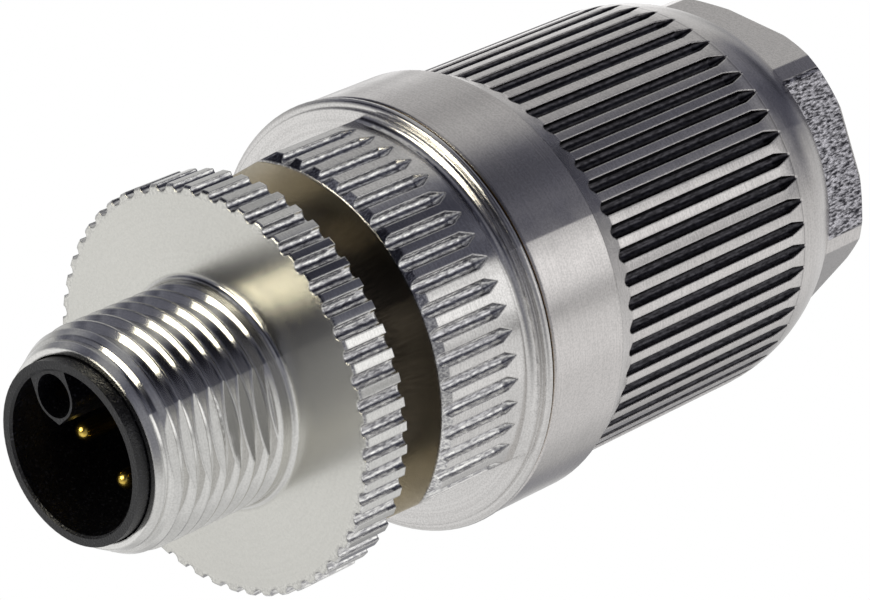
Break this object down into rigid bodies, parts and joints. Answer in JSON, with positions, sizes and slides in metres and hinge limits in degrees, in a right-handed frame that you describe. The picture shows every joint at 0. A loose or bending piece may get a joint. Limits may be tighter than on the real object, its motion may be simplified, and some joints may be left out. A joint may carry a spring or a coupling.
{
  "type": "m12 circular connector plug",
  "caption": "Straight metal M12 cable plug with a knurled locking screw, wrench flats, a grooved pressure nut and insulation-displacement contacts.",
  "frame": {"origin": "centre of the pressure nut's flat end, where the cable comes in", "axes": "+Z along the connector's axis, from the cable end to the contact cup; +Y square to the housing's wrench flats"},
  "size_m": [0.0236, 0.0236, 0.051],
  "materials": {
    "cast_nickel": "zinc die casting, nickel plated, satin faces and rough cast knurl",
    "turned_nickel": "nickel plated, satin turned faces",
    "spring_steel": "bare stainless spring steel",
    "black_polyamide": "moulded, matt",
    "grey_polyamide": "moulded, matt",
    "white_acetal": "moulded, smooth",
    "gold_plate": "gold plated, polished",
    "tinned_bronze": "tinned phosphor bronze, stamped",
    "black_rubber": "moulded nitrile rubber"
  },
  "bodies": {
    "housing": {"housing": "turned_nickel", "contact_carrier": "black_polyamide", "pin_1": "gold_plate", "pin_2": "gold_plate", "pin_3": "gold_plate", "pin_4": "gold_plate", "idc_blade_1": "tinned_bronze", "idc_blade_2": "tinned_bronze", "idc_blade_3": "tinned_bronze", "idc_blade_4": "tinned_bronze", "carrier_seal": "black_rubber", "housing_seal": "black_rubber"},
    "snap_ring": {"snap_ring": "spring_steel"},
    "locking_screw": {"locking_screw": "cast_nickel"},
    "gland": {"wire_ring": "grey_polyamide", "shield_spring": "spring_steel", "slip_ring": "white_acetal", "clamp_cage": "grey_polyamide", "gland_seal": "black_rubber"},
    "pressure_nut": {"pressure_nut": "turned_nickel"}
  },
  "joints": [
    {"name": "screw_float", "type": "slide", "parent": "housing", "child": "snap_ring", "axis": [0, 0, 1], "range_m": [0, 0.0004]},
    {"name": "screw_turn", "type": "hinge", "parent": "snap_ring", "child": "locking_screw", "pos_m": [0, 0, 0.04], "axis": [0, 0, 1], "continuous": true},
    {"name": "nut_travel", "type": "slide", "parent": "housing", "child": "gland", "axis": [0, 0, 1], "range_m": [-0.005, 0]},
    {"name": "nut_turn", "type": "hinge", "parent": "gland", "child": "pressure_nut", "pos_m": [0, 0, 0.015], "axis": [0, 0, 1], "range_deg": [-1800, 0]}
  ],
  "couplings": [
    {"joint": "nut_travel", "follows": "nut_turn", "m_per_rad": 0.00015915}
  ]
}
